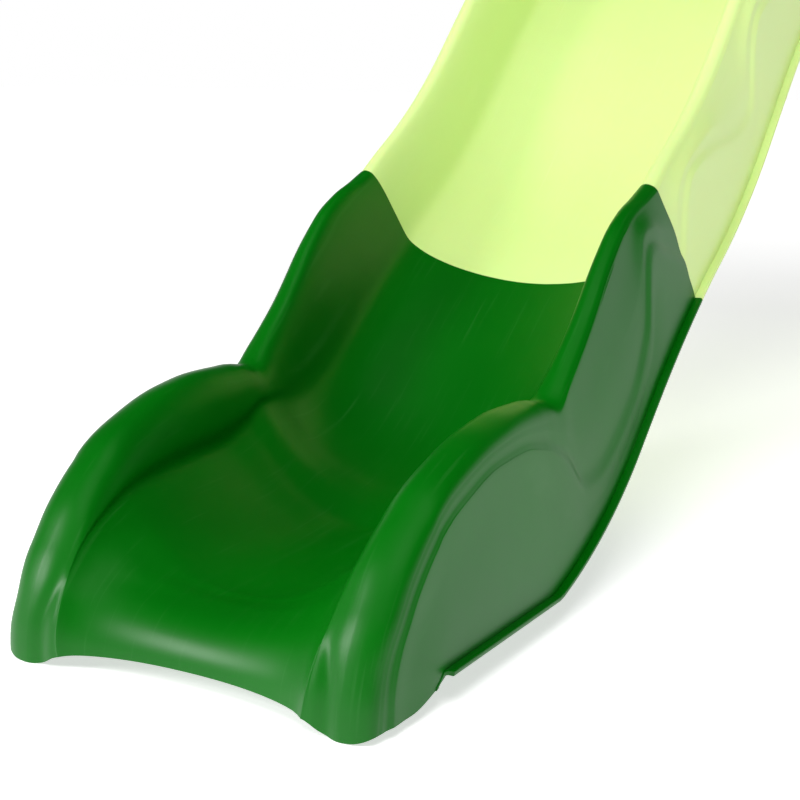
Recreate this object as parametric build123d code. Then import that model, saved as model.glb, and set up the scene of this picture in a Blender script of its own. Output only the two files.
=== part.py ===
from build123d import *
import os
from math import ceil, cos, radians, sin
from typing import NamedTuple
import numpy as np

# A straight playground slide in two mouldings, bolted end to end through flanges that
# are hidden under the joint. X runs across the slide, -Y towards the exit and +Z up.
# Each moulding is one open-bottomed skin: the bed, two hollow side walls and a turned
# lip. It is drawn as cross-sections. The plane of each section holds the X direction,
# stands on the lip line and leans towards the exit by its own angle.
# All sizes are in millimetres and all angles in degrees.

# --- overall sizes ---
SKIN = 4.0                  # wall thickness of both mouldings
FOOT_HALF = 252.0           # centre plane to the foot of the side wall
LIP_DEPTH = 6.0             # height of the lip's edge
LIP_HEIGHT = 30.5           # underside of the lip above the ground along the run-out
RUN_OUT = 260.0             # level lip along the run-out
DECK_REST = 130.0           # level stretch of the slide that lies on the platform

# --- lip line after the run-out: (length, heading at its end) ---
LOWER_PATH = [(12.0, 16.0), (265.0, 42.0), (75.0, 41.0), (190.0, 34.0)]
UPPER_PATH = [(85.0, 30.0), (240.0, 45.0), (110.0, 45.0), (230.0, 35.0),
              (240.0, 43.0), (220.0, 36.0), (100.0, 40.0), (330.0, 0.0)]
JOINT_AT = RUN_OUT + sum(length for length, _ in LOWER_PATH)
BEND_AT = JOINT_AT + sum(length for length, _ in UPPER_PATH[:-1])
TOP_AT = BEND_AT + UPPER_PATH[-1][0] + DECK_REST

# --- joint flanges and their bolts ---
FLANGE = 6.0                # thickness of each flange
FLANGE_HALF = 150.0         # half width of the flange's hanging middle
FLANGE_DROP = 34.0          # how far the middle hangs below the lip
WALL_BOLTS = [(FOOT_HALF - 38.0, 52.0), (FOOT_HALF - 39.0, 112.0)]   # (x, height) in the walls
BED_BOLTS = [0.0, 105.0]    # x of the bolts under the bed
BED_BOLT_DROP = 17.0        # how far those bolts lie below the lip
BOLT_RADIUS = 4.0
BOLT_CLEARANCE = 0.5        # from the bolt to the side of its hole
BOLT_TAIL = 3.3             # how far the bolt stands out of its nut
HEAD_FLATS = 13.0           # across the flats of head and nut
HEAD_HEIGHT = 5.3
NUT_HEIGHT = 6.5
WASHER_RADIUS = 8.0
WASHER_THICK = 1.6
HOLE_RADIUS = BOLT_RADIUS + BOLT_CLEARANCE
BOLT_LENGTH = 2 * (FLANGE + WASHER_THICK) + NUT_HEIGHT + BOLT_TAIL

# --- fixing tongue at the platform ---
TONGUE_LENGTH = 55.0
TONGUE_HALF = 165.0
TONGUE_THICK = 6.0
TONGUE_CORNER = 20.0
DECK_HOLE_RADIUS = 4.5
DECK_HOLE_SPACING = 240.0   # two holes, one each side of the centre plane
DECK_HOLE_BACK = 30.0       # from the moulding's end to the holes

# --- lower rim of the front, seen from the front: (x, height above the ground) ---
RIM = [(0.0, 21.0), (FOOT_HALF - 132.0, 19.0), (FOOT_HALF - 85.0, 13.0), (FOOT_HALF - 65.0, 0.0)]
RIM_NOSE_END = FOOT_HALF - 37.0        # the nose stands on the ground from the last point to here
RIM_SIDE = (FOOT_HALF + 4.0, 13.0)     # and its rim rises to this point on the outer wall

HANGER_SINK = 3.0           # the hanging flange reaches this far into the closed end
STATION_STEP = 24.0         # longest step between two lofted sections
FAN_STEP = 11.0             # the same in the nose, in degrees
TABLE_HALF = 252.0          # the half width that the x columns of the section table are for


class Section(NamedTuple):
    """Half a cross-section: x outwards from the centre plane, h up from the lip line."""
    at: float               # distance along the lip line from the start of the run-out
    lean: float             # lean of the section's plane towards the exit
    bed: float              # height of the bed on the centre plane
    crease_x: float         # edge of the bed, where the inner flank starts
    crease_h: float
    bed_slope: float        # slope of the bed at its edge
    flank_slope: float      # slope of the inner flank there
    crest_x: float          # top of the side wall
    crest_h: float
    edge_x: float           # outer edge of the rounded crest
    edge_h: float
    ridge_h: float          # height of the soft ridge along the outer wall
    foot_h: float           # lower end of the side wall
    lip: float = 10.0       # how far the lip stands out from the side wall


#           at lean  bed  crease    slopes  crest     edge      ridge foot lip
LOWER = [
    Section(0, 122, 124, 150, 150, 35, 60, 210, 146, 240, 134, 110, 30, 1),
    Section(0, 105, 113, 155, 138, 38, 75, 208, 140, 241, 127, 100, 22, 1),
    Section(0, 90, 107, 162, 134, 42, 90, 207, 134, 242, 120, 95, 13, 1),
    Section(0, 70, 91, 166, 126, 46, 96, 207, 129, 240, 115, 95, 10, 1),
    Section(0, 45, 64, 170, 120, 50, 98, 207, 133, 242, 118, 98, 9, 1),
    Section(0, 20, 49, 171, 122, 50, 98, 207, 154, 242, 138, 115, 9, 4),
    Section(0, 0, 46, 172, 132, 50, 98, 207, 188, 242, 172, 145, 8.5),
    Section(60, 0, 46, 172, 143, 50, 98, 207, 217, 242, 200, 172, 8.5),
    Section(130, 0, 46, 172, 148, 50, 98, 207, 236, 242, 218, 190, 8.5),
    Section(200, 2, 47, 172, 152, 52, 96, 207, 242, 241, 224, 192, 8.5),
    Section(262, 5, 50, 173, 166, 55, 92, 209, 241, 239, 222, 182, 8.5),
    Section(300, 7, 50, 174, 172, 58, 88, 211, 229, 238, 211, 160, 8.5),
    Section(340, 9, 46, 176, 160, 62, 82, 213, 211, 238, 196, 115, 8.5),
    Section(380, 11, 38, 178, 140, 65, 78, 213, 218, 236, 205, 60, 8.5),
    Section(450, 14, 27, 180, 115, 68, 76, 213, 228, 234, 214, 35, 8.5),
    Section(562, 19, 17, 181, 95, 70, 77, 214, 236, 232, 223, 30, 8.5),
    Section(640, 23, 12, 182, 88, 71, 78, 214, 233, 231, 220, 60, 8.5),
    Section(700, 26, 10, 182, 84, 71, 79, 214, 223, 230, 210, 150, 8.5),
    Section(760, 30, 9, 182, 82, 72, 79, 214, 207, 230, 194, 100, 8.5),
    Section(JOINT_AT, 32, 9, 182, 80, 72, 79, 214, 198, 230, 185, 55, 8.5),
]
UPPER = [
    LOWER[-1],
    LOWER[-1]._replace(at=JOINT_AT + 90, lean=34, ridge_h=150, edge_h=186),
    LOWER[-1]._replace(at=JOINT_AT + 320, lean=39, ridge_h=55),
    LOWER[-1]._replace(at=JOINT_AT + 420, lean=39, ridge_h=150, edge_h=186),
    LOWER[-1]._replace(at=JOINT_AT + 650, lean=38, ridge_h=55),
    LOWER[-1]._replace(at=JOINT_AT + 750, lean=38, ridge_h=150, edge_h=186),
    LOWER[-1]._replace(at=BEND_AT - 100, lean=36, ridge_h=55),
    LOWER[-1]._replace(at=BEND_AT + 60, lean=30, ridge_h=150, edge_h=186),
    LOWER[-1]._replace(at=TOP_AT - DECK_REST, lean=4, ridge_h=120),
    LOWER[-1]._replace(at=TOP_AT - 40, lean=0, ridge_h=100, crest_h=190, edge_h=177),
    LOWER[-1]._replace(at=TOP_AT, lean=0, ridge_h=80, crest_h=165, edge_h=152),
]


def smooth_value(positions, values, position):
    """A smooth value between the key ones that never overshoots them."""
    slopes = np.diff(values) / np.diff(positions)
    tangents = np.zeros(len(values))
    tangents[0], tangents[-1] = slopes[0], slopes[-1]
    for i in range(1, len(values) - 1):
        before, after = slopes[i - 1], slopes[i]
        if before * after > 0:
            tangents[i] = 2 * before * after / (before + after)
    i = int(np.clip(np.searchsorted(positions, position) - 1, 0, len(slopes) - 1))
    span = positions[i + 1] - positions[i]
    t = (position - positions[i]) / span
    return (values[i] * (1 + 2 * t) * (1 - t) ** 2 + values[i + 1] * t * t * (3 - 2 * t)
            + span * t * (1 - t) * (tangents[i] * (1 - t) - tangents[i + 1] * t))


def lip_point(distance):
    """(y, z) on the lip line, which is made of tangent arcs after the run-out."""
    y, z, heading = min(distance, RUN_OUT), LIP_HEIGHT, 0.0
    left = distance - RUN_OUT
    for length, end in LOWER_PATH + UPPER_PATH + [(DECK_REST, 0.0)]:
        if left <= 0:
            break
        run = min(left, length)
        turn = (end - heading) * run / length
        mean = radians(heading + turn / 2)
        half_turn = radians(turn / 2)
        chord = run * (sin(half_turn) / half_turn if turn else 1.0)
        y, z = y + chord * cos(mean), z + chord * sin(mean)
        heading += turn
        left -= run
    return y, z


def bezier(start, leave, arrive, end, count):
    """Points of a cubic curve, without its last one."""
    t = np.linspace(0, 1, count, endpoint=False)[:, None]
    return ((1 - t) ** 3 * start + 3 * (1 - t) ** 2 * t * leave
            + 3 * (1 - t) * t * t * arrive + t ** 3 * end)


def half_outline(section):
    """(x, h) points of the upper skin from the centre plane to the wall's foot."""
    bed_way = np.array([cos(radians(section.bed_slope)), sin(radians(section.bed_slope))])
    flank_way = np.array([cos(radians(section.flank_slope)),
                          sin(radians(section.flank_slope))])
    wider = FOOT_HALF - TABLE_HALF
    centre = np.array([0.0, section.bed])
    crease = np.array([section.crease_x + wider, section.crease_h])
    crest = np.array([section.crest_x + wider, section.crest_h])
    edge = np.array([section.edge_x + wider, section.edge_h])
    ridge = np.array([FOOT_HALF - 2 - 0.02 * section.ridge_h, section.ridge_h])
    foot = np.array([FOOT_HALF, section.foot_h])
    bed_reach = 0.55 * (section.crease_h - section.bed) / bed_way[1]
    rise = section.crest_h - section.crease_h
    crest_in = np.array([min(0.62 * (section.crest_x - section.crease_x), 0.9 * rise), 0])
    crest_out = np.array([0.6 * (section.edge_x - section.crest_x), 0])
    slope = (ridge - edge) / np.hypot(*(ridge - edge))
    wall = np.array([0, section.ridge_h - section.foot_h]) / 3
    return np.vstack([
        bezier(centre, centre + [0.45 * crease[0], 0],
               crease - bed_reach * bed_way, crease, 8),
        bezier(crease, crease + 0.5 * rise * flank_way, crest - crest_in, crest, 7),
        bezier(crest, crest + crest_out,
               edge - 0.5 * (section.crest_h - section.edge_h) * slope, edge, 5),
        bezier(edge, edge + (ridge - edge) / 3,
               ridge + [0, 0.25 * (section.edge_h - section.ridge_h)], ridge, 5),
        bezier(ridge, ridge - wall, foot + wall, foot, 5),
        [foot],
    ])


def inward(points, depth):
    """The same outline moved under the skin by depth."""
    along = np.gradient(points, axis=0)
    along /= np.hypot(along[:, :1], along[:, 1:])
    moved = points + depth * np.stack([along[:, 1], -along[:, 0]], axis=1)
    moved[0] = points[0] - [0, depth]
    moved[-1] = points[-1] - [depth, 0]
    return moved


def mirrored(half):
    """The whole outline, from the left side to the right one."""
    return np.vstack([half[:0:-1] * [-1, 1], half])


def in_space(points, section):
    """Section points placed in the slide's own frame."""
    y, z = lip_point(max(section.at, 0.0))
    lean = radians(section.lean)
    return [Vector(x, y - h * sin(lean), z + h * cos(lean)) for x, h in points]


def place_of(section):
    """One running number for all sections: fan degrees below zero, then millimetres."""
    return section.at if section.at > 0 else -section.lean


def fill_in(keys, first, last):
    """Sections close enough to each other to loft, from one place to another."""
    places = [place_of(key) for key in keys]
    stops = [first, *(place for place in places if first < place < last), last]
    filled = []
    for start, end in zip(stops, stops[1:]):
        step = FAN_STEP if start < 0 else STATION_STEP
        filled += list(np.linspace(start, end, ceil((end - start) / step), endpoint=False))
    columns = [np.array(column, dtype=float) for column in zip(*keys)]
    return [Section(*(smooth_value(places, column, place) for column in columns))
            ._replace(at=max(place, 0.0)) for place in filled + [last]]


def skin_wire(section):
    """The closed outline of the skin's cut, lips included."""
    half = half_outline(section)
    top = in_space(mirrored(half), section)
    under = in_space(mirrored(inward(half, SKIN)), section)
    wide = FOOT_HALF + section.lip
    low = section.foot_h - LIP_DEPTH
    rim = in_space([(wide, section.foot_h), (wide, low), (FOOT_HALF - SKIN, low),
                    (SKIN - FOOT_HALF, low), (-wide, low), (-wide, section.foot_h)], section)
    steps = np.linspace(0, 1, len(top)).tolist()
    return Wire([
        Edge.make_spline(top, parameters=steps),
        *Polyline(top[-1], *rim[:3], under[-1]).edges(),
        Edge.make_spline(under[::-1], parameters=steps),
        *Polyline(under[0], *rim[3:], top[0]).edges(),
    ])


def plug_wire(section):
    """Outline of the closed end, which reaches half way into the skin."""
    wide = FOOT_HALF - SKIN / 2
    low = section.foot_h - LIP_DEPTH
    under = in_space(mirrored(inward(half_outline(section), SKIN / 2)), section)
    steps = np.linspace(0, 1, len(under)).tolist()
    closing = in_space([(wide, low), (-wide, low)], section)
    return Wire([Edge.make_spline(under, parameters=steps),
                 *Polyline(under[-1], *closing, under[0]).edges()])


def closed_end(keys, first, last, lean):
    """The flange that closes the hollow under the skin, with both faces at one lean."""
    ends = [section._replace(lean=lean) for section in fill_in(keys, first, last)]
    return Solid.make_loft([plug_wire(ends[0]), plug_wire(ends[-1])], ruled=True)


def skin(keys, first, last):
    """One moulding's skin between two places."""
    return Solid.make_loft([skin_wire(section) for section in fill_in(keys, first, last)])


def flange_hanger(depth):
    """The part of a joint flange that hangs below the bed; depth is towards the platform."""
    section = LOWER[-1]
    lean = radians(section.lean)
    low = section.foot_h - LIP_DEPTH
    top = low + HANGER_SINK
    outline = [(FLANGE_HALF, top), (FLANGE_HALF, low), (FLANGE_HALF - FLANGE_DROP, low - FLANGE_DROP),
               (FLANGE_DROP - FLANGE_HALF, low - FLANGE_DROP), (-FLANGE_HALF, low), (-FLANGE_HALF, top)]
    face = Face(Polyline(*in_space(outline, section), close=True))
    return extrude(face, amount=abs(depth), dir=Vector(0, cos(lean), sin(lean)) * np.sign(depth))


def joint_places():
    """Planes on the joint, one at each bolt, that look up the slide."""
    section = LOWER[-1]
    lean = radians(section.lean)
    spots = [(side * x, h) for x, h in WALL_BOLTS for side in (-1, 1)]
    spots += [(side * x, -BED_BOLT_DROP) for x in BED_BOLTS for side in (-1, 1) if x or side > 0]
    return [Plane(point, x_dir=(1, 0, 0), z_dir=(0, cos(lean), sin(lean)))
            for point in in_space(spots, section)]


def rim_cutter():
    """The space under the rim of the front, from the ground up."""
    below, front = -100.0, -400.0
    right = [RIM[-1], (RIM_NOSE_END, 0.0), RIM_SIDE, (RIM_SIDE[0] + 50.0, RIM_SIDE[1])]
    left = [(-x, z) for x, z in right[::-1]]
    arch = Spline([(-x, z) for x, z in RIM[:0:-1]] + RIM)
    sides = Polyline(arch @ 1, *right[1:], (right[-1][0], below), (left[0][0], below),
                     *left[:-1], arch @ 0)
    face = make_face(Plane.XZ * Curve([arch, *sides.edges()]))
    return extrude(face, amount=front)


def holes(places, radius, reach):
    """Drills through everything within reach of each place."""
    return [place * Cylinder(radius, 2 * reach) for place in places]


def nut_shape(height):
    """A hexagon with its flats across X, standing on its own plane."""
    return extrude(RegularPolygon(HEAD_FLATS / 2, 6, major_radius=False), amount=height)


def bolt():
    """A hexagon bolt: shank up, head under the plane."""
    return nut_shape(-HEAD_HEIGHT) + Pos(0, 0, BOLT_LENGTH / 2) * Cylinder(BOLT_RADIUS, BOLT_LENGTH)


def washer():
    """A flat washer standing on the plane."""
    return extrude(Circle(WASHER_RADIUS) - Circle(HOLE_RADIUS), amount=WASHER_THICK)


def nut():
    """A nut standing on the plane, bored to its bolt."""
    return nut_shape(NUT_HEIGHT) - Cylinder(BOLT_RADIUS, 3 * NUT_HEIGHT)


def lower_chute(places):
    """The run-out moulding with its two rounded wings."""
    body = skin(LOWER, place_of(LOWER[0]), JOINT_AT)
    body = body + closed_end(LOWER, JOINT_AT - FLANGE, JOINT_AT, LOWER[-1].lean)
    body = body + flange_hanger(-FLANGE)
    return body - rim_cutter() - holes(places, HOLE_RADIUS, FLANGE)


def tongue():
    """The drilled plate that carries the slide's end on the platform."""
    plate = extrude(RectangleRounded(2 * TONGUE_HALF, 2 * TONGUE_LENGTH, TONGUE_CORNER),
                    amount=TONGUE_THICK)
    plate &= Pos(0, TONGUE_LENGTH - FLANGE / 2, 0) * Box(
        3 * TONGUE_HALF, 2 * TONGUE_LENGTH, 4 * TONGUE_THICK)
    return plate - [Pos(side * DECK_HOLE_SPACING / 2, DECK_HOLE_BACK, 0)
                    * Cylinder(DECK_HOLE_RADIUS, 4 * TONGUE_THICK) for side in (-1, 1)]


def upper_chute(places):
    """The upper moulding, which ends in a drilled tongue on the platform."""
    body = skin(UPPER, JOINT_AT, TOP_AT)
    body = body + closed_end(UPPER, JOINT_AT, JOINT_AT + FLANGE, UPPER[0].lean)
    body = body + closed_end(UPPER, TOP_AT - FLANGE, TOP_AT, UPPER[-1].lean)
    end_y, end_z = lip_point(TOP_AT)
    base = end_z + UPPER[-1].foot_h - LIP_DEPTH
    body = body + flange_hanger(FLANGE) + Pos(0, end_y, base) * tongue()
    return body - holes(places, HOLE_RADIUS, FLANGE)


def fasteners(places):
    """The bolts, washers and nuts of the joint, each as a group of separate solids."""
    head_side = -(FLANGE + WASHER_THICK)
    return {
        "joint_bolts": [place * Pos(0, 0, head_side) * bolt() for place in places],
        "joint_washers": [place * Pos(0, 0, z) * washer()
                          for place in places for z in (head_side, FLANGE)],
        "joint_nuts": [place * Pos(0, 0, FLANGE + WASHER_THICK) * nut() for place in places],
    }


def front_of_nose():
    """The foremost y of the wings."""
    nose = fill_in(LOWER, place_of(LOWER[0]), 0.0)
    return min(point.Y for section in nose for point in in_space(half_outline(section), section))


def main():
    places = joint_places()
    nodes = {"lower_chute": [lower_chute(places)], "upper_chute": [upper_chute(places)]}
    nodes |= fasteners(places)
    back = lip_point(TOP_AT)[0] + TONGUE_LENGTH
    centring = Pos(0, -(front_of_nose() + back) / 2, 0)
    os.makedirs("parts", exist_ok=True)
    for name, shapes in nodes.items():
        moved = [centring * solid for shape in shapes for solid in shape.solids()]
        export_step(moved[0] if len(moved) == 1 else Compound(moved), f"parts/{name}.step")


main()
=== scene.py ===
from math import ceil, cos, radians, sin
from typing import NamedTuple
import bmesh
import bpy
import numpy as np
from mathutils import Matrix, Vector

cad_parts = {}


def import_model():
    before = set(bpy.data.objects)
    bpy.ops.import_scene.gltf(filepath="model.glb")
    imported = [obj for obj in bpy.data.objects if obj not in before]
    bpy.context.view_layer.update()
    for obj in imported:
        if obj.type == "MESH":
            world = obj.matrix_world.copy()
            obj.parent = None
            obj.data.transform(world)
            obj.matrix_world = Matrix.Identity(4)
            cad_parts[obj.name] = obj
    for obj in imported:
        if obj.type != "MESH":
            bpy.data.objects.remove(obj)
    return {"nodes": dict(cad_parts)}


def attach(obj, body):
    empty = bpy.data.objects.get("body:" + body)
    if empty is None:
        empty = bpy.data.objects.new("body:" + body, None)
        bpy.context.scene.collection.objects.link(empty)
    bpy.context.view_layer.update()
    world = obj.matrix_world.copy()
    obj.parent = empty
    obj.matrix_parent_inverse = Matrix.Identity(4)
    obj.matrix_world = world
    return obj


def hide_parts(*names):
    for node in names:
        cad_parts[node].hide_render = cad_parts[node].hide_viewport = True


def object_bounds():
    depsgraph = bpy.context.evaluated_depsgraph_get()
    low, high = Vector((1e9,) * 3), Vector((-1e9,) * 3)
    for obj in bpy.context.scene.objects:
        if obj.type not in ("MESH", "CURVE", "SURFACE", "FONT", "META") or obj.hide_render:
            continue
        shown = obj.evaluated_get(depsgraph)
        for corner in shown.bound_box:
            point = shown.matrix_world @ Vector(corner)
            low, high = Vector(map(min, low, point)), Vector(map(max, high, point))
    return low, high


# A straight playground slide in two plastic mouldings. Both are drawn here as smooth skins
# from the same cross-sections as the CAD, in the CAD's frame. Section sizes are millimetres,
# as on a drawing, and MM turns them into the scene's metres. Angles are degrees.

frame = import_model()
cad_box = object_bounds()

MM = 0.001

# --- sizes that both mouldings share ---
SKIN = 4.0                  # wall thickness
FOOT_HALF = 252.0           # centre plane to the foot of the side wall
LIP_DEPTH = 6.0             # height of the lip's edge
LIP_HEIGHT = 30.5           # lip line above the ground along the run-out
RUN_OUT = 260.0             # level lip along the run-out
DECK_REST = 130.0           # level stretch on the platform
LOWER_PATH = [(12.0, 16.0), (265.0, 42.0), (75.0, 41.0), (190.0, 34.0)]
UPPER_PATH = [(85.0, 30.0), (240.0, 45.0), (110.0, 45.0), (230.0, 35.0),
              (240.0, 43.0), (220.0, 36.0), (100.0, 40.0), (330.0, 0.0)]
JOINT_AT = RUN_OUT + sum(length for length, _ in LOWER_PATH)
BEND_AT = JOINT_AT + sum(length for length, _ in UPPER_PATH[:-1])
TOP_AT = BEND_AT + UPPER_PATH[-1][0] + DECK_REST

# --- joint flanges, bolts and tongue ---
FLANGE = 6.0                # thickness of each flange and of the closed end
FLANGE_HALF = 150.0         # half width of the flange's hanging middle
FLANGE_DROP = 34.0          # how far the middle hangs below the lip
FLANGE_HOLE_RADIUS = 4.5
FLANGE_GAP = 0.05           # each flange stops this short of the joint and of its washers
WALL_BOLTS = [(FOOT_HALF - 38.0, 52.0), (FOOT_HALF - 39.0, 112.0)]   # (x, height) in the walls
BED_BOLTS = [0.0, 105.0]    # x of the bolts under the bed
BED_BOLT_DROP = 17.0        # how far those bolts lie below the lip
TONGUE_LENGTH = 55.0
TONGUE_HALF = 165.0
TONGUE_THICK = 6.0
TONGUE_CORNER = 20.0
DECK_HOLE_RADIUS = 4.5
DECK_HOLE_SPACING = 240.0   # two holes, one each side of the centre plane
DECK_HOLE_BACK = 30.0       # from the moulding's end to the holes

# --- lower rim of the front, seen from the front: (x, height above the ground) ---
RIM_CURVE = [(0, 21), (40, 21), (80, 20.5), (110, 19.5), (140, 18), (157, 16), (165, 14), (173, 10.5),
             (180, 5.5), (187, 1.5), (195, 0.2), (210, 0.2), (222, 1.5), (232, 4.5), (240, 8.5), (249, 12)]
RIM_WALL_Y = (-67.0, -8.0)  # along the outer wall the rim rises between these places
RIM_WALL_RISE = 13.0        # by this much

# --- mesh steps ---
STATION_STEP = 12.0         # between two rings of vertices along the slide
FAN_STEP = 4.0              # the same in the nose, in degrees
FINE_FAN_STEP = 1.0         # and where the nose is cut at its rim
CAD_FAN_STEP = 11.0         # the step of the CAD's nose, which says where its front is
RIM_SMOOTHING = 3           # rounds of smoothing along the cut
ACROSS = 3                  # vertices for each point of a section's outline
SHARP_ANGLE = 50.0          # edges that turn by more than this are shaded as edges
MERGE_DISTANCE = 0.02       # vertices nearer to each other than this become one
HOLE_STEPS = 32             # straight pieces in a bolt hole
CORNER_STEPS = 9            # vertices in a rounded corner
PLATE_EDGE = 0.4            # rounding along the edges of a plate
PLATE_INTO_SKIN = 2.5       # how far a closed end lies under the skin's outer face
PLATE_OVER_LIP = 0.5        # and how far above the underside of the lip
LIP_EDGE = 1.6              # rounding along the edges of the lip

# --- relief that is finer than the section table ---
STEP_OUT = 6.0              # the outer wall steps out by this much above its soft ridge
STEP_DROP = 46.0            # over this height
GROOVE = [(0, 178), (60, 178), (80, 188), (122, 188)]   # (lean, x) of the groove beside each foot
GROOVE_DEPTH = 4.0
GROOVE_WIDTH = 10.0
GROOVE_FROM, GROOVE_TO = 30.0, 85.0    # it deepens between these leans
GROOVE_LOW, GROOVE_HIGH = 0.5, 0.8     # and between these shares of the crest's height
JOINT_STEP = 1.0            # the upper skin lies this much inside the lower one

# --- camera, from the photograph's viewing angle ---
CAMERA_LENS = 72.0
CAMERA_TILT = 77.2
CAMERA_TURN = 30.4
CAMERA_BEYOND = (1.000, -1.234, 0.6805)   # metres from the middle of the exit's front, on the ground

# --- floor, in metres: a lit table whose glow grows with (distance from the middle, glow) ---
FLOOR_SIZE = 30.0
FLOOR_BELOW = 0.0005        # under the feet of the slide
FLOOR_NEAR = (1.6, 0.62)
FLOOR_FAR = (4.5, 1.0)

# --- looks ---
BLACK = (0.0, 0.0, 0.0)
WHITE = (1.0, 1.0, 1.0)
DIM = (0.03, 0.03, 0.03)
SCUFF_STRETCH = (260.0, 7.0, 9.0)   # narrow across the slide, long along it
SCUFF_SHARE = 0.10          # how much of the light colour a scratch takes


class Section(NamedTuple):
    """Half a cross-section: x outwards from the centre plane, h up from the lip line."""
    at: float               # distance along the lip line from the start of the run-out
    lean: float             # lean of the section's plane towards the exit
    bed: float              # height of the bed on the centre plane
    crease_x: float         # edge of the bed, where the inner flank starts
    crease_h: float
    bed_slope: float        # slope of the bed at its edge
    flank_slope: float      # slope of the inner flank there
    crest_x: float          # top of the side wall
    crest_h: float
    edge_x: float           # outer edge of the rounded crest
    edge_h: float
    ridge_h: float          # height of the soft ridge along the outer wall
    foot_h: float           # lower end of the side wall
    lip: float = 10.0       # how far the lip stands out from the side wall


#           at lean  bed  crease    slopes  crest     edge      ridge foot lip
LOWER = [
    Section(0, 122, 124, 150, 150, 35, 60, 210, 146, 240, 134, 110, 30, 1),
    Section(0, 105, 113, 155, 138, 38, 75, 208, 140, 241, 127, 100, 22, 1),
    Section(0, 90, 107, 162, 134, 42, 90, 207, 134, 242, 120, 95, 13, 1),
    Section(0, 70, 91, 166, 126, 46, 96, 207, 129, 240, 115, 95, 10, 1),
    Section(0, 45, 64, 170, 120, 50, 98, 207, 133, 242, 118, 98, 9, 1),
    Section(0, 20, 49, 171, 122, 50, 98, 207, 154, 242, 138, 115, 9, 4),
    Section(0, 0, 46, 172, 132, 50, 98, 207, 188, 242, 172, 145, 8.5),
    Section(60, 0, 46, 172, 143, 50, 98, 207, 217, 242, 200, 172, 8.5),
    Section(130, 0, 46, 172, 148, 50, 98, 207, 236, 242, 218, 190, 8.5),
    Section(200, 2, 47, 172, 152, 52, 96, 207, 242, 241, 224, 192, 8.5),
    Section(262, 5, 50, 173, 166, 55, 92, 209, 241, 239, 222, 182, 8.5),
    Section(300, 7, 50, 174, 172, 58, 88, 211, 229, 238, 211, 160, 8.5),
    Section(340, 9, 46, 176, 160, 62, 82, 213, 211, 238, 196, 115, 8.5),
    Section(380, 11, 38, 178, 140, 65, 78, 213, 218, 236, 205, 60, 8.5),
    Section(450, 14, 27, 180, 115, 68, 76, 213, 228, 234, 214, 35, 8.5),
    Section(562, 19, 17, 181, 95, 70, 77, 214, 236, 232, 223, 30, 8.5),
    Section(640, 23, 12, 182, 88, 71, 78, 214, 233, 231, 220, 60, 8.5),
    Section(700, 26, 10, 182, 84, 71, 79, 214, 223, 230, 210, 150, 8.5),
    Section(760, 30, 9, 182, 82, 72, 79, 214, 207, 230, 194, 100, 8.5),
    Section(JOINT_AT, 32, 9, 182, 80, 72, 79, 214, 198, 230, 185, 55, 8.5),
]
UPPER = [
    LOWER[-1],
    LOWER[-1]._replace(at=JOINT_AT + 90, lean=34, ridge_h=150, edge_h=186),
    LOWER[-1]._replace(at=JOINT_AT + 320, lean=39, ridge_h=55),
    LOWER[-1]._replace(at=JOINT_AT + 420, lean=39, ridge_h=150, edge_h=186),
    LOWER[-1]._replace(at=JOINT_AT + 650, lean=38, ridge_h=55),
    LOWER[-1]._replace(at=JOINT_AT + 750, lean=38, ridge_h=150, edge_h=186),
    LOWER[-1]._replace(at=BEND_AT - 100, lean=36, ridge_h=55),
    LOWER[-1]._replace(at=BEND_AT + 60, lean=30, ridge_h=150, edge_h=186),
    LOWER[-1]._replace(at=TOP_AT - DECK_REST, lean=4, ridge_h=120),
    LOWER[-1]._replace(at=TOP_AT - 40, lean=0, ridge_h=100, crest_h=190, edge_h=177),
    LOWER[-1]._replace(at=TOP_AT, lean=0, ridge_h=80, crest_h=165, edge_h=152),
]


# ---------------------------------------------------------------- section geometry

def smooth_value(positions, values, position):
    """A smooth value between the key ones that never overshoots them."""
    slopes = np.diff(values) / np.diff(positions)
    tangents = np.zeros(len(values))
    tangents[0], tangents[-1] = slopes[0], slopes[-1]
    for i in range(1, len(values) - 1):
        before, after = slopes[i - 1], slopes[i]
        if before * after > 0:
            tangents[i] = 2 * before * after / (before + after)
    i = int(np.clip(np.searchsorted(positions, position) - 1, 0, len(slopes) - 1))
    span = positions[i + 1] - positions[i]
    t = (position - positions[i]) / span
    return (values[i] * (1 + 2 * t) * (1 - t) ** 2 + values[i + 1] * t * t * (3 - 2 * t)
            + span * t * (1 - t) * (tangents[i] * (1 - t) - tangents[i + 1] * t))


def lip_point(distance):
    """(y, z) on the lip line, which is made of tangent arcs after the run-out."""
    y, z, heading = min(distance, RUN_OUT), LIP_HEIGHT, 0.0
    left = distance - RUN_OUT
    for length, end in LOWER_PATH + UPPER_PATH + [(DECK_REST, 0.0)]:
        if left <= 0:
            break
        run = min(left, length)
        turn = (end - heading) * run / length
        mean = radians(heading + turn / 2)
        half_turn = radians(turn / 2)
        chord = run * (sin(half_turn) / half_turn if turn else 1.0)
        y, z = y + chord * cos(mean), z + chord * sin(mean)
        heading += turn
        left -= run
    return y, z


def bezier(start, leave, arrive, end, count):
    """Points of a cubic curve, without its last one."""
    t = np.linspace(0, 1, count, endpoint=False)[:, None]
    return ((1 - t) ** 3 * start + 3 * (1 - t) ** 2 * t * leave
            + 3 * (1 - t) * t * t * arrive + t ** 3 * end)


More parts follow.
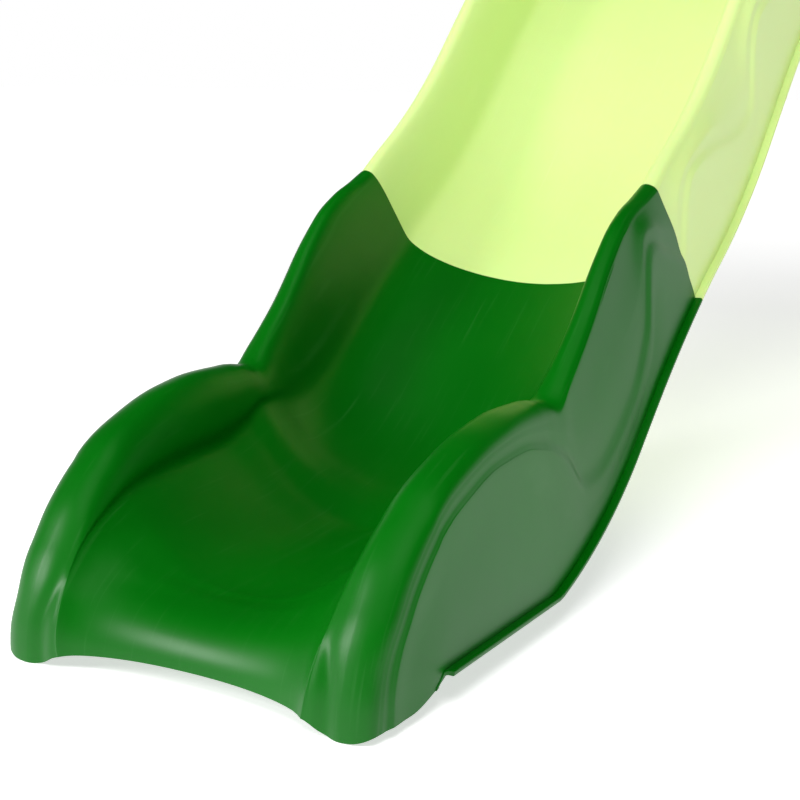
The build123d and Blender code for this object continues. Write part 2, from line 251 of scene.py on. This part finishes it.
def half_outline(section):
    """(x, h) points of the upper skin from the centre plane to the wall's foot."""
    bed_way = np.array([cos(radians(section.bed_slope)), sin(radians(section.bed_slope))])
    flank_way = np.array([cos(radians(section.flank_slope)),
                          sin(radians(section.flank_slope))])
    centre = np.array([0.0, section.bed])
    crease = np.array([section.crease_x, section.crease_h])
    crest = np.array([section.crest_x, section.crest_h])
    edge = np.array([section.edge_x, section.edge_h])
    ridge = np.array([FOOT_HALF - 2 - 0.02 * section.ridge_h, section.ridge_h])
    foot = np.array([FOOT_HALF, section.foot_h])
    bed_reach = 0.55 * (section.crease_h - section.bed) / bed_way[1]
    rise = section.crest_h - section.crease_h
    crest_in = np.array([min(0.62 * (section.crest_x - section.crease_x), 0.9 * rise), 0])
    crest_out = np.array([0.6 * (section.edge_x - section.crest_x), 0])
    slope = (ridge - edge) / np.hypot(*(ridge - edge))
    wall = np.array([0, section.ridge_h - section.foot_h]) / 3
    drop = section.edge_h - section.ridge_h
    shelf = ridge + [-min(STEP_OUT, 0.7 * (ridge[0] - edge[0])), min(STEP_DROP, 0.6 * drop)]
    ease = np.array([0, shelf[1] - ridge[1]]) / 2
    return np.vstack([
        bezier(centre, centre + [0.45 * section.crease_x, 0],
               crease - bed_reach * bed_way, crease, 8),
        bezier(crease, crease + 0.5 * rise * flank_way, crest - crest_in, crest, 7),
        bezier(crest, crest + crest_out,
               edge - 0.5 * (section.crest_h - section.edge_h) * slope, edge, 5),
        bezier(edge, edge + (shelf - edge) / 3, shelf + [0, 0.3 * (edge[1] - shelf[1])], shelf, 4),
        bezier(shelf, shelf - ease, ridge + ease, ridge, 4),
        bezier(ridge, ridge - wall, foot + wall, foot, 5),
        [foot],
    ])


def inward(points, depth):
    """The same outline moved under the skin by depth."""
    along = np.gradient(points, axis=0)
    along /= np.hypot(along[:, :1], along[:, 1:])
    return points + depth * np.stack([along[:, 1], -along[:, 0]], axis=1)


def mirrored(half):
    """The whole outline, from the left side to the right one."""
    return np.vstack([half[:0:-1] * [-1, 1], half])


def rounded(points, per_step):
    """A smooth curve through all points, with per_step vertices from each to the next."""
    count = len(points)
    pull = np.eye(count)
    rows = np.arange(1, count - 1)
    pull[rows, rows] = 4.0
    pull[rows, rows - 1] = pull[rows, rows + 1] = 1.0
    bend = np.zeros((count, 2))
    bend[1:-1] = 6 * (points[2:] - 2 * points[1:-1] + points[:-2])
    bend = np.linalg.solve(pull, bend)
    place = np.linspace(0, count - 1, per_step * (count - 1) + 1)
    i = np.minimum(place.astype(int), count - 2)
    t = (place - i)[:, None]
    a, b = points[i], points[i + 1]
    return (a * (1 - t) + b * t + ((1 - t) ** 3 - (1 - t)) * bend[i] / 6
            + (t ** 3 - t) * bend[i + 1] / 6)


def place_of(section):
    """One running number for all sections: fan degrees below zero, then millimetres."""
    return section.at if section.at > 0 else -section.lean


def fill_in(keys, first, last, fan_step=FAN_STEP):
    """Sections close enough to each other to skin, from one place to another."""
    places = [place_of(key) for key in keys]
    stops = [first, *(place for place in places if first < place < last), last]
    filled = []
    for start, end in zip(stops, stops[1:]):
        step = fan_step if start < 0 else STATION_STEP
        filled += list(np.linspace(start, end, ceil((end - start) / step), endpoint=False))
    columns = [np.array(column, dtype=float) for column in zip(*keys)]
    return [Section(*(smooth_value(places, column, place) for column in columns))
            ._replace(at=max(place, 0.0)) for place in filled + [last]]


def in_space(points, section):
    """Section points placed in the slide's own frame, in millimetres."""
    y, z = lip_point(max(section.at, 0.0))
    lean = radians(section.lean)
    x, h = points[:, 0], points[:, 1]
    return np.stack([x, y - h * sin(lean), z + h * cos(lean)], axis=1)


# ---------------------------------------------------------------- skins

def foot_relief(top, section):
    """The soft groove between each foot and the front's skirt."""
    share = np.clip((section.lean - GROOVE_FROM) / (GROOVE_TO - GROOVE_FROM), 0, 1)
    if section.at > 0 or share == 0:
        return top
    share = share * share * (3 - 2 * share)
    across = np.abs(top[:, 0])
    groove_x = np.interp(section.lean, *np.transpose(GROOVE))
    height = top[:, 1] / section.crest_h
    on_top = np.clip((height - GROOVE_LOW) / (GROOVE_HIGH - GROOVE_LOW), 0, 1)
    drop = GROOVE_DEPTH * np.exp(-((across - groove_x) / GROOVE_WIDTH) ** 2)
    return top - np.stack([np.zeros(len(top)), share * on_top * drop], axis=1)


def skin_ring(section, inset=0.0):
    """One closed ring of the skin: over the top, round one lip, back underneath, round the other."""
    top = foot_relief(rounded(mirrored(half_outline(section)), ACROSS), section)
    top = inward(top, inset)
    under = inward(top, SKIN)
    wide = FOOT_HALF + section.lip
    low = section.foot_h - LIP_DEPTH
    soft = min(LIP_EDGE, 0.4 * section.lip)
    right = np.array([
        (FOOT_HALF + 0.2 * section.lip, section.foot_h), (wide - soft, section.foot_h),
        (wide - 0.3 * soft, section.foot_h - 0.3 * soft), (wide, section.foot_h - soft),
        (wide, low + soft), (wide - 0.3 * soft, low + 0.3 * soft), (wide - soft, low),
        (FOOT_HALF, low), (FOOT_HALF - SKIN, low)])
    left = right[::-1] * [-1, 1]
    return in_space(np.vstack([top, right, under[::-1], left]), section)


def rim_height(x, y):
    """Height of the front's rim: an arch, a foot under each wing and a rise along the wall."""
    arch = np.interp(np.abs(x), *np.transpose(RIM_CURVE))
    along = np.clip((y - RIM_WALL_Y[0]) / (RIM_WALL_Y[1] - RIM_WALL_Y[0]), 0, 1)
    wall = np.clip((np.abs(x) - RIM_CURVE[-2][0]) / (RIM_CURVE[-1][0] - RIM_CURVE[-2][0]), 0, 1)
    return arch + RIM_WALL_RISE * wall * along * along * (3 - 2 * along)


def crossing(above, leans):
    """The lean at which a column meets the rim, or the last one where it never does."""
    below = np.nonzero(above < 0)[0]
    if not len(below) or below[0] == 0:
        return leans[-1]
    i = below[0]
    share = above[i - 1] / (above[i - 1] - above[i])
    return leans[i - 1] + share * (leans[i] - leans[i - 1])


def nose_rings(keys):
    """The rings of the nose, each column of vertices spread evenly down to the rim."""
    first = place_of(keys[0])
    fine = fill_in(keys, first, 0.0, fan_step=FINE_FAN_STEP)[::-1]
    leans = [section.lean for section in fine]
    columns = np.stack([skin_ring(section) for section in fine], axis=1)
    above = columns[:, :, 2] - rim_height(columns[:, :, 0], columns[:, :, 1])
    ends = np.array([crossing(column, leans) for column in above])
    for _ in range(RIM_SMOOTHING):
        ends = (np.roll(ends, 1) + 2 * ends + np.roll(ends, -1)) / 4
    shares = np.linspace(1, 0, ceil(-first / FAN_STEP), endpoint=False)
    return [np.array([[np.interp(share * end, leans, axis) for axis in column.T]
                      for end, column in zip(ends, columns)]) for share in shares]


def piece_from(mesh):
    """An object from a mesh, with its vertices merged, its faces outwards and its edges sharp."""
    shell = bmesh.new()
    shell.from_mesh(mesh)
    bmesh.ops.remove_doubles(shell, verts=shell.verts, dist=MERGE_DISTANCE * MM)
    bmesh.ops.recalc_face_normals(shell, faces=shell.faces)
    shell.to_mesh(mesh)
    shell.free()
    mesh.shade_smooth()
    mesh.set_sharp_from_angle(angle=radians(SHARP_ANGLE))
    piece = bpy.data.objects.new(mesh.name, mesh)
    bpy.context.collection.objects.link(piece)
    return piece


def end_cap(size, start):
    """Faces across the cut end of a skin, whose ring of vertices starts at start."""
    top = len(rounded(mirrored(half_outline(LOWER[-1])), ACROSS))
    under = size // 2
    faces = [(j, j + 1, under + top - 2 - j, under + top - 1 - j) for j in range(top - 1)]
    faces += [range(top - 1, under + 1), [*range(under + top - 1, size), 0]]
    return [[start + vertex for vertex in face] for face in faces]


def chute(name, rings):
    """A closed skin through the rings."""
    size = len(rings[0])
    starts = [r * size for r in range(len(rings))]
    faces = [(a + j, a + (j + 1) % size, b + (j + 1) % size, b + j)
             for a, b in zip(starts, starts[1:]) for j in range(size)]
    faces += end_cap(size, starts[0]) + end_cap(size, starts[-1])
    mesh = bpy.data.meshes.new(name)
    mesh.from_pydata(((np.vstack(rings) + [0, CENTRING, 0]) * MM).tolist(), [], faces)
    return piece_from(mesh)


def drawn_plate(name, outline, holes, thickness, place):
    """A flat plate from its (x, y) outline and (x, y, radius) holes, standing on its place."""
    curve = bpy.data.curves.new(name, "CURVE")
    curve.dimensions = "2D"
    curve.fill_mode = "BOTH"
    circles = [[(x + radius * cos(angle), y + radius * sin(angle))
                for angle in np.linspace(0, radians(360), HOLE_STEPS, endpoint=False)]
               for x, y, radius in holes]
    for points in [outline] + circles:
        spline = curve.splines.new("POLY")
        spline.points.add(len(points) - 1)
        spline.points.foreach_set("co", np.ravel([(x * MM, y * MM, 0, 1) for x, y in points]))
        spline.use_cyclic_u = True
    curve.extrude = (thickness / 2 - PLATE_EDGE) * MM
    curve.bevel_depth = PLATE_EDGE * MM
    curve.bevel_resolution = 2
    curve.offset = -PLATE_EDGE * MM
    drawing = bpy.data.objects.new(name, curve)
    bpy.context.collection.objects.link(drawing)
    bpy.context.view_layer.update()
    mesh = bpy.data.meshes.new_from_object(drawing)
    bpy.data.objects.remove(drawing)
    mesh.name = name
    mesh.transform(place @ Matrix.Translation((0, 0, thickness / 2 * MM)))
    return piece_from(mesh)


def plate_place(section, along):
    """The section's own plane, moved up the slide; a plate on it grows up the slide."""
    y, z = lip_point(section.at)
    lean = radians(section.lean)
    origin = np.array([0.0, y + CENTRING, z]) + along * np.array([0, cos(lean), sin(lean)])
    place = Matrix(((-1, 0, 0), (0, -sin(lean), cos(lean)), (0, cos(lean), sin(lean)))).to_4x4()
    place.translation = origin * MM
    return place


def end_outline(section, hanging):
    """The outline of a closed end, with or without the part that hangs below the lip."""
    over = inward(mirrored(half_outline(section)), PLATE_INTO_SKIN)
    low = section.foot_h - LIP_DEPTH + PLATE_OVER_LIP
    inside = over[over[:, 1] > low + 1]
    side = inside[-1, 0]
    middle = [(FLANGE_HALF, low), (FLANGE_HALF - FLANGE_DROP, low - FLANGE_DROP),
              (FLANGE_DROP - FLANGE_HALF, low - FLANGE_DROP), (-FLANGE_HALF, low)]
    return [*map(tuple, inside), (side, low), *(middle if hanging else []), (-side, low)]


def tongue_outline():
    """The tongue on the platform: straight against the slide, with two rounded corners."""
    turns = np.linspace(0, radians(90), CORNER_STEPS)
    corner = [(TONGUE_HALF - TONGUE_CORNER + TONGUE_CORNER * cos(turn),
               TONGUE_LENGTH - TONGUE_CORNER + TONGUE_CORNER * sin(turn)) for turn in turns]
    return [(TONGUE_HALF, 0.0), *corner, *((-x, y) for x, y in corner[::-1]), (-TONGUE_HALF, 0.0)]


# ---------------------------------------------------------------- build

# The drawing's y becomes the frame's where the drawn front meets the front of the CAD.
cad_nose = fill_in(LOWER, place_of(LOWER[0]), 0.0, fan_step=CAD_FAN_STEP)
drawn_front = min(in_space(half_outline(section), section)[:, 1].min() for section in cad_nose)
CENTRING = cad_box[0][1] / MM - drawn_front

lower_rings = [skin_ring(section) for section in fill_in(LOWER, 0.0, JOINT_AT)]
upper_rings = [skin_ring(section, JOINT_STEP) for section in fill_in(UPPER, JOINT_AT, TOP_AT)]
lower = chute("lower_skin", nose_rings(LOWER) + lower_rings)
upper = chute("upper_skin", upper_rings)

bolt_spots = [(side * x, h) for x, h in WALL_BOLTS for side in (-1, 1)]
bolt_spots += [(side * x, -BED_BOLT_DROP) for x in BED_BOLTS for side in (-1, 1) if x or side > 0]
bolt_holes = [(x, h, FLANGE_HOLE_RADIUS) for x, h in bolt_spots]
joint_outline = end_outline(LOWER[-1], hanging=True)
lower_flange = drawn_plate("lower_flange", joint_outline, bolt_holes, FLANGE - 2 * FLANGE_GAP,
                           plate_place(LOWER[-1], FLANGE_GAP - FLANGE))
upper_flange = drawn_plate("upper_flange", joint_outline, bolt_holes, FLANGE - 2 * FLANGE_GAP,
                           plate_place(UPPER[0], FLANGE_GAP))
upper_end = drawn_plate("upper_end", end_outline(UPPER[-1], hanging=False), [], FLANGE,
                        plate_place(UPPER[-1], -FLANGE))
end_y, end_z = lip_point(TOP_AT)
tongue_place = Matrix.Translation(
    Vector((0, end_y + CENTRING - FLANGE / 2, end_z + UPPER[-1].foot_h - LIP_DEPTH)) * MM)
deck_holes = [(side * DECK_HOLE_SPACING / 2, DECK_HOLE_BACK + FLANGE / 2, DECK_HOLE_RADIUS)
              for side in (-1, 1)]
tongue = drawn_plate("tongue", tongue_outline(), deck_holes, TONGUE_THICK, tongue_place)


# ---------------------------------------------------------------- materials

def new_material(name):
    """A material with its node tree and its main shader."""
    material = bpy.data.materials.new(name)
    material.use_nodes = True
    return material, material.node_tree, material.node_tree.nodes["Principled BSDF"]


def noise(tree, scale, detail, stretch=None):
    """Noise in the object's own coordinates, which a stretch draws out along them."""
    place = tree.nodes.new("ShaderNodeTexCoord").outputs["Object"]
    if stretch:
        mapping = tree.nodes.new("ShaderNodeMapping")
        mapping.inputs["Scale"].default_value = stretch
        tree.links.new(place, mapping.inputs["Vector"])
        place = mapping.outputs["Vector"]
    texture = tree.nodes.new("ShaderNodeTexNoise")
    texture.inputs["Scale"].default_value = scale
    texture.inputs["Detail"].default_value = detail
    tree.links.new(place, texture.inputs["Vector"])
    return texture.outputs["Fac"]


def ramp(tree, value, low, high):
    """Colours along a value, from one (position, colour) to another."""
    node = tree.nodes.new("ShaderNodeValToRGB")
    for element, (position, colour) in zip(node.color_ramp.elements, (low, high)):
        element.position = position
        element.color = (*colour, 1)
    tree.links.new(value, node.inputs["Fac"])
    return node.outputs["Color"]


def spread(tree, value, low, high, start=0.0, end=1.0):
    """The value moved from its own range, start to end, into the range from low to high."""
    node = tree.nodes.new("ShaderNodeMapRange")
    node.inputs["From Min"].default_value = start
    node.inputs["From Max"].default_value = end
    node.inputs["To Min"].default_value = low
    node.inputs["To Max"].default_value = high
    tree.links.new(value, node.inputs["Value"])
    return node.outputs["Result"]


def bump(tree, height, strength, distance, under=None):
    """A bumped normal, on top of another one where it's given."""
    node = tree.nodes.new("ShaderNodeBump")
    node.inputs["Strength"].default_value = strength
    node.inputs["Distance"].default_value = distance
    tree.links.new(height, node.inputs["Height"])
    if under:
        tree.links.new(under, node.inputs["Normal"])
    return node.outputs["Normal"]


def scuffed(tree, colour, light):
    """The colour with faint light scratches along the slide."""
    scratches = noise(tree, scale=1.0, detail=5.0, stretch=SCUFF_STRETCH)
    scratches = ramp(tree, scratches, (0.60, BLACK), (0.74, WHITE))
    share = tree.nodes.new("ShaderNodeMath")
    share.operation = "MULTIPLY"
    share.inputs[1].default_value = SCUFF_SHARE
    tree.links.new(scratches, share.inputs[0])
    mix = tree.nodes.new("ShaderNodeMix")
    mix.data_type = "RGBA"
    mix.inputs["B"].default_value = (*light, 1)
    tree.links.new(share.outputs["Value"], mix.inputs["Factor"])
    tree.links.new(colour, mix.inputs["A"])
    return mix.outputs["Result"]


def plastic(name, base, deep, light, roughness, shine, subsurface=0.0):
    """Satin moulded polyethylene: slight colour drift, fine grain and slide scuffs."""
    material, tree, shader = new_material(name)
    drift = noise(tree, scale=3.5, detail=3.0)
    colour = scuffed(tree, ramp(tree, drift, (0.3, deep), (0.72, base)), light)
    gloss = spread(tree, drift, roughness - 0.05, roughness + 0.09)
    waves = bump(tree, noise(tree, scale=16.0, detail=1.0), strength=0.25, distance=0.0012)
    grain = noise(tree, scale=900.0, detail=2.0)
    normal = bump(tree, grain, strength=0.12, distance=0.0004, under=waves)
    tree.links.new(colour, shader.inputs["Base Color"])
    tree.links.new(gloss, shader.inputs["Roughness"])
    tree.links.new(normal, shader.inputs["Normal"])
    shader.inputs["Specular IOR Level"].default_value = shine
    shader.inputs["Subsurface Weight"].default_value = subsurface
    shader.inputs["Subsurface Scale"].default_value = 0.01
    return material


def zinc():
    """Zinc-plated steel for the fasteners."""
    material, tree, shader = new_material("plated_steel")
    clouds = noise(tree, scale=180.0, detail=4.0)
    colour = ramp(tree, clouds, (0.0, (0.42, 0.43, 0.45)), (1.0, (0.68, 0.69, 0.68)))
    tree.links.new(colour, shader.inputs["Base Color"])
    tree.links.new(spread(tree, clouds, 0.28, 0.5), shader.inputs["Roughness"])
    tree.links.new(bump(tree, clouds, strength=0.1, distance=0.0002), shader.inputs["Normal"])
    shader.inputs["Metallic"].default_value = 1.0
    return material


green = plastic("moulded_green", base=(0.0, 0.130, 0.002), deep=(0.0, 0.105, 0.002),
                light=(0.08, 0.25, 0.08), roughness=0.33, shine=0.26)
lime = plastic("moulded_lime", base=(0.69, 0.88, 0.33), deep=(0.66, 0.86, 0.30),
               light=(0.80, 0.93, 0.50), roughness=0.33, shine=0.45, subsurface=0.10)
steel = zinc()

for pieces, node, material, slot in (
        ((lower, lower_flange), "lower_chute", green, "dark_green_plastic"),
        ((upper, upper_flange, upper_end, tongue), "upper_chute", lime, "pale_lime_plastic")):
    for piece in pieces:
        piece.data.materials.append(material)
        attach(piece, "root")
    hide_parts(node)
for node in ("joint_bolts", "joint_washers", "joint_nuts"):
    fastener = frame["nodes"][node]
    for place in fastener.material_slots:
        place.material = steel


# ---------------------------------------------------------------- stage, light and camera

def floor():
    """A pale floor that runs far behind the slide."""
    bpy.ops.mesh.primitive_plane_add(size=FLOOR_SIZE, location=(0, 0, -FLOOR_BELOW))
    plane = bpy.context.object
    plane.name = "floor"
    material, tree, shader = new_material("floor")
    coords = tree.nodes.new("ShaderNodeTexCoord")
    away = tree.nodes.new("ShaderNodeVectorMath")
    away.operation = "LENGTH"
    tree.links.new(coords.outputs["Object"], away.inputs[0])
    (start, near_glow), (end, far_glow) = FLOOR_NEAR, FLOOR_FAR
    glow = spread(tree, away.outputs["Value"], near_glow, far_glow, start, end)
    tree.links.new(glow, shader.inputs["Emission Strength"])
    shader.inputs["Base Color"].default_value = (0.90, 0.90, 0.90, 1)
    shader.inputs["Roughness"].default_value = 0.9
    shader.inputs["Specular IOR Level"].default_value = 0.1
    shader.inputs["Emission Color"].default_value = (1, 1, 1, 1)
    plane.data.materials.append(material)


def soft_light(name, place, target, size, power, shines=True):
    """A large soft light aimed at a point; one that doesn't shine leaves no highlight."""
    data = bpy.data.lights.new(name, "AREA")
    data.shape = "RECTANGLE"
    data.size, data.size_y = size
    data.energy = power
    lamp = bpy.data.objects.new(name, data)
    lamp.location = place
    lamp.rotation_euler = (Vector(target) - Vector(place)).to_track_quat("-Z", "Y").to_euler()
    lamp.visible_glossy = shines
    bpy.context.collection.objects.link(lamp)


def camera():
    data = bpy.data.cameras.new("camera")
    data.lens = CAMERA_LENS
    data.clip_end = 100.0
    eye = bpy.data.objects.new("camera", data)
    eye.location = (CAMERA_BEYOND[0], cad_box[0][1] + CAMERA_BEYOND[1], CAMERA_BEYOND[2])
    eye.rotation_euler = (radians(CAMERA_TILT), 0, radians(CAMERA_TURN))
    bpy.context.collection.objects.link(eye)
    bpy.context.scene.camera = eye


def world():
    """A studio that is white low down and dim overhead."""
    sky = bpy.data.worlds.new("studio")
    bpy.context.scene.world = sky
    sky.use_nodes = True
    tree = sky.node_tree
    coords = tree.nodes.new("ShaderNodeTexCoord")
    split = tree.nodes.new("ShaderNodeSeparateXYZ")
    tree.links.new(coords.outputs["Generated"], split.inputs["Vector"])
    shade = ramp(tree, split.outputs["Z"], (0.08, WHITE), (0.35, DIM))
    tree.links.new(shade, tree.nodes["Background"].inputs["Color"])


floor()
world()
soft_light("strip", (-1.75, -3.1, 1.45), (0, -0.9, 0.15), (0.30, 1.1), 50)
soft_light("top", (0.5, -2.2, 3.3), (0, -0.6, 0.3), (2.4, 2.4), 110, shines=False)
camera()
bpy.context.scene.view_settings.view_transform = "Standard"
